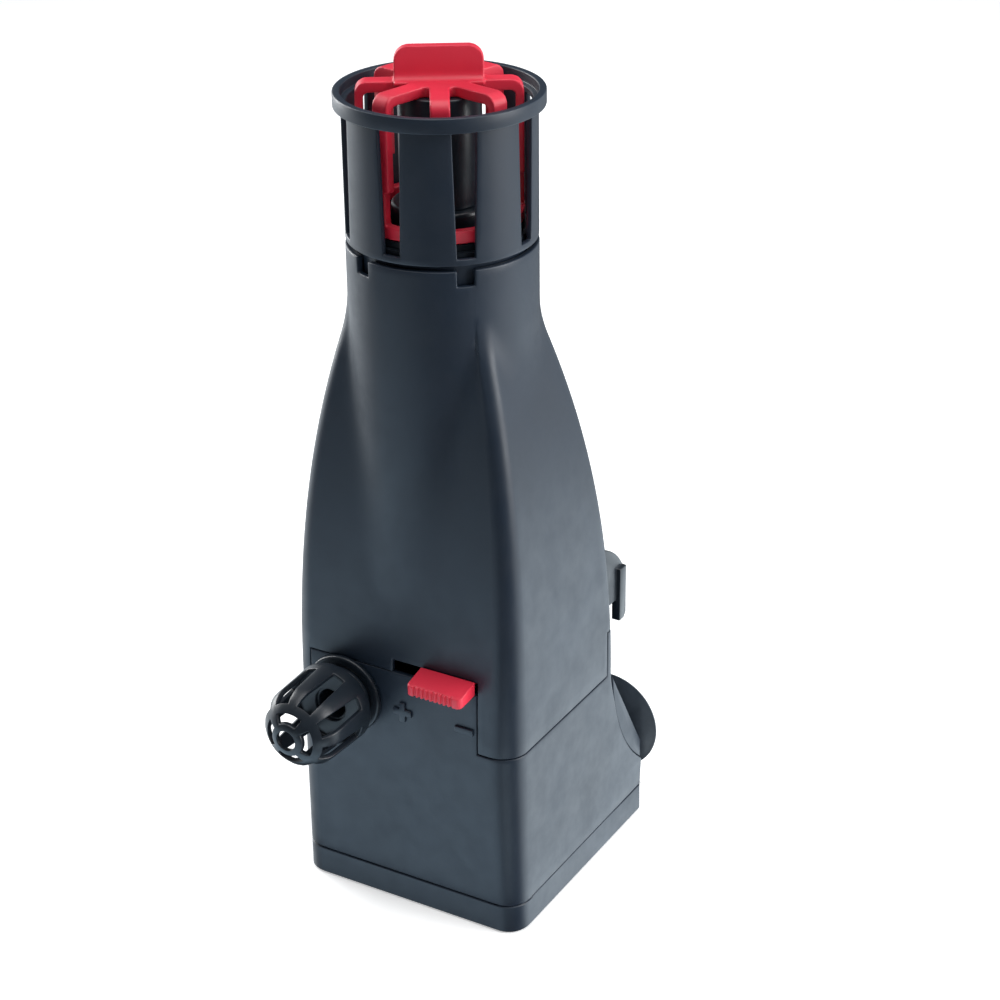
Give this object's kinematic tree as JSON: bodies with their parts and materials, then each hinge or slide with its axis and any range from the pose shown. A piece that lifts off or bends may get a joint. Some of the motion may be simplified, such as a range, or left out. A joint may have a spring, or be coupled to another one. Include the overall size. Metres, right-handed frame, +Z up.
{
  "type": "internal aquarium power filter",
  "caption": "Submersible aquarium filter: flared base with suction cups, tapered sponge chamber, slotted surface inlet with red float, flow slider and swivelling outlet.",
  "frame": {"origin": "underside of the base plate, on the axis of the round neck", "axes": "+Z up along the neck axis, -Y towards the front with the slider and the outlet, +Y towards the glass that the suction cups hold to"},
  "size_m": [0.082, 0.1187, 0.2605],
  "materials": {
    "casing": "fine-grained moulded ABS, dark blue-grey",
    "casing_dark": "satin moulded plastic, near black",
    "red_plastic": "satin red moulded plastic",
    "cup_rubber": "soft smooth grey rubber",
    "seal_rubber": "black rubber",
    "sponge": "open-cell filter foam",
    "steel": "stainless steel screws",
    "core_steel": "laminated electrical steel",
    "copper": "enamelled copper winding",
    "potting": "black epoxy potting",
    "magnet": "sintered ferrite magnet",
    "ceramic": "polished ceramic",
    "impeller_plastic": "pale moulded plastic"
  },
  "bodies": {
    "housing": {"base_plate": "casing", "lower_housing": "casing", "cup_carrier": "casing", "suction_cup_left": "cup_rubber", "suction_cup_right": "cup_rubber", "bracket_left": "casing_dark", "bracket_right": "casing_dark", "base_screws": "steel", "cable_gland": "seal_rubber", "upper_housing": "casing", "chamber_seal": "seal_rubber", "sponge_grid": "casing_dark", "filter_sponge": "sponge", "outlet_socket": "casing_dark", "impeller_chamber": "casing_dark", "intake_cover": "casing_dark", "cover_screws": "steel", "motor_block": "potting", "stator_core": "core_steel", "stator_coil": "copper", "rotor_shaft": "ceramic", "lower_bush": "seal_rubber", "upper_bush": "seal_rubber"},
    "cage": {"inlet_cage": "casing"},
    "weir": {"weir_sleeve": "casing_dark"},
    "float": {"float_frame": "red_plastic", "float_body": "casing_dark", "float_base": "casing_dark"},
    "outlet_swivel": {"swivel_ring": "casing_dark"},
    "nozzle": {"outlet_nozzle": "casing_dark"},
    "flow_control": {"flow_slider": "red_plastic", "shutter_plate": "casing_dark"},
    "rotor": {"rotor_magnet": "magnet", "impeller": "impeller_plastic", "thrust_washer": "ceramic"}
  },
  "joints": [
    {"name": "cage_twist", "type": "hinge", "parent": "housing", "child": "cage", "pos_m": [0, 0, 0.2], "axis": [0, 0, 1], "range_deg": [-18, 0]},
    {"name": "float_lift", "type": "slide", "parent": "cage", "child": "weir", "axis": [0, 0, 1], "range_m": [0, 0.016]},
    {"name": "float_turn", "type": "hinge", "parent": "weir", "child": "float", "pos_m": [0, 0, 0.212], "axis": [0, 0, 1], "continuous": true},
    {"name": "outlet_turn", "type": "hinge", "parent": "housing", "child": "outlet_swivel", "pos_m": [-0.019, -0.0295, 0.0695], "axis": [0, -1, 0], "continuous": true},
    {"name": "outlet_tilt", "type": "hinge", "parent": "outlet_swivel", "child": "nozzle", "pos_m": [-0.019, -0.0295, 0.0695], "axis": [1, 0, 0], "range_deg": [-15, 15]},
    {"name": "flow_adjust", "type": "slide", "parent": "housing", "child": "flow_control", "axis": [-1, 0, 0], "range_m": [0, 0.009]},
    {"name": "impeller_spin", "type": "hinge", "parent": "housing", "child": "rotor", "pos_m": [0.01, 0.002, 0.06], "axis": [0, 0, 1], "continuous": true}
  ]
}
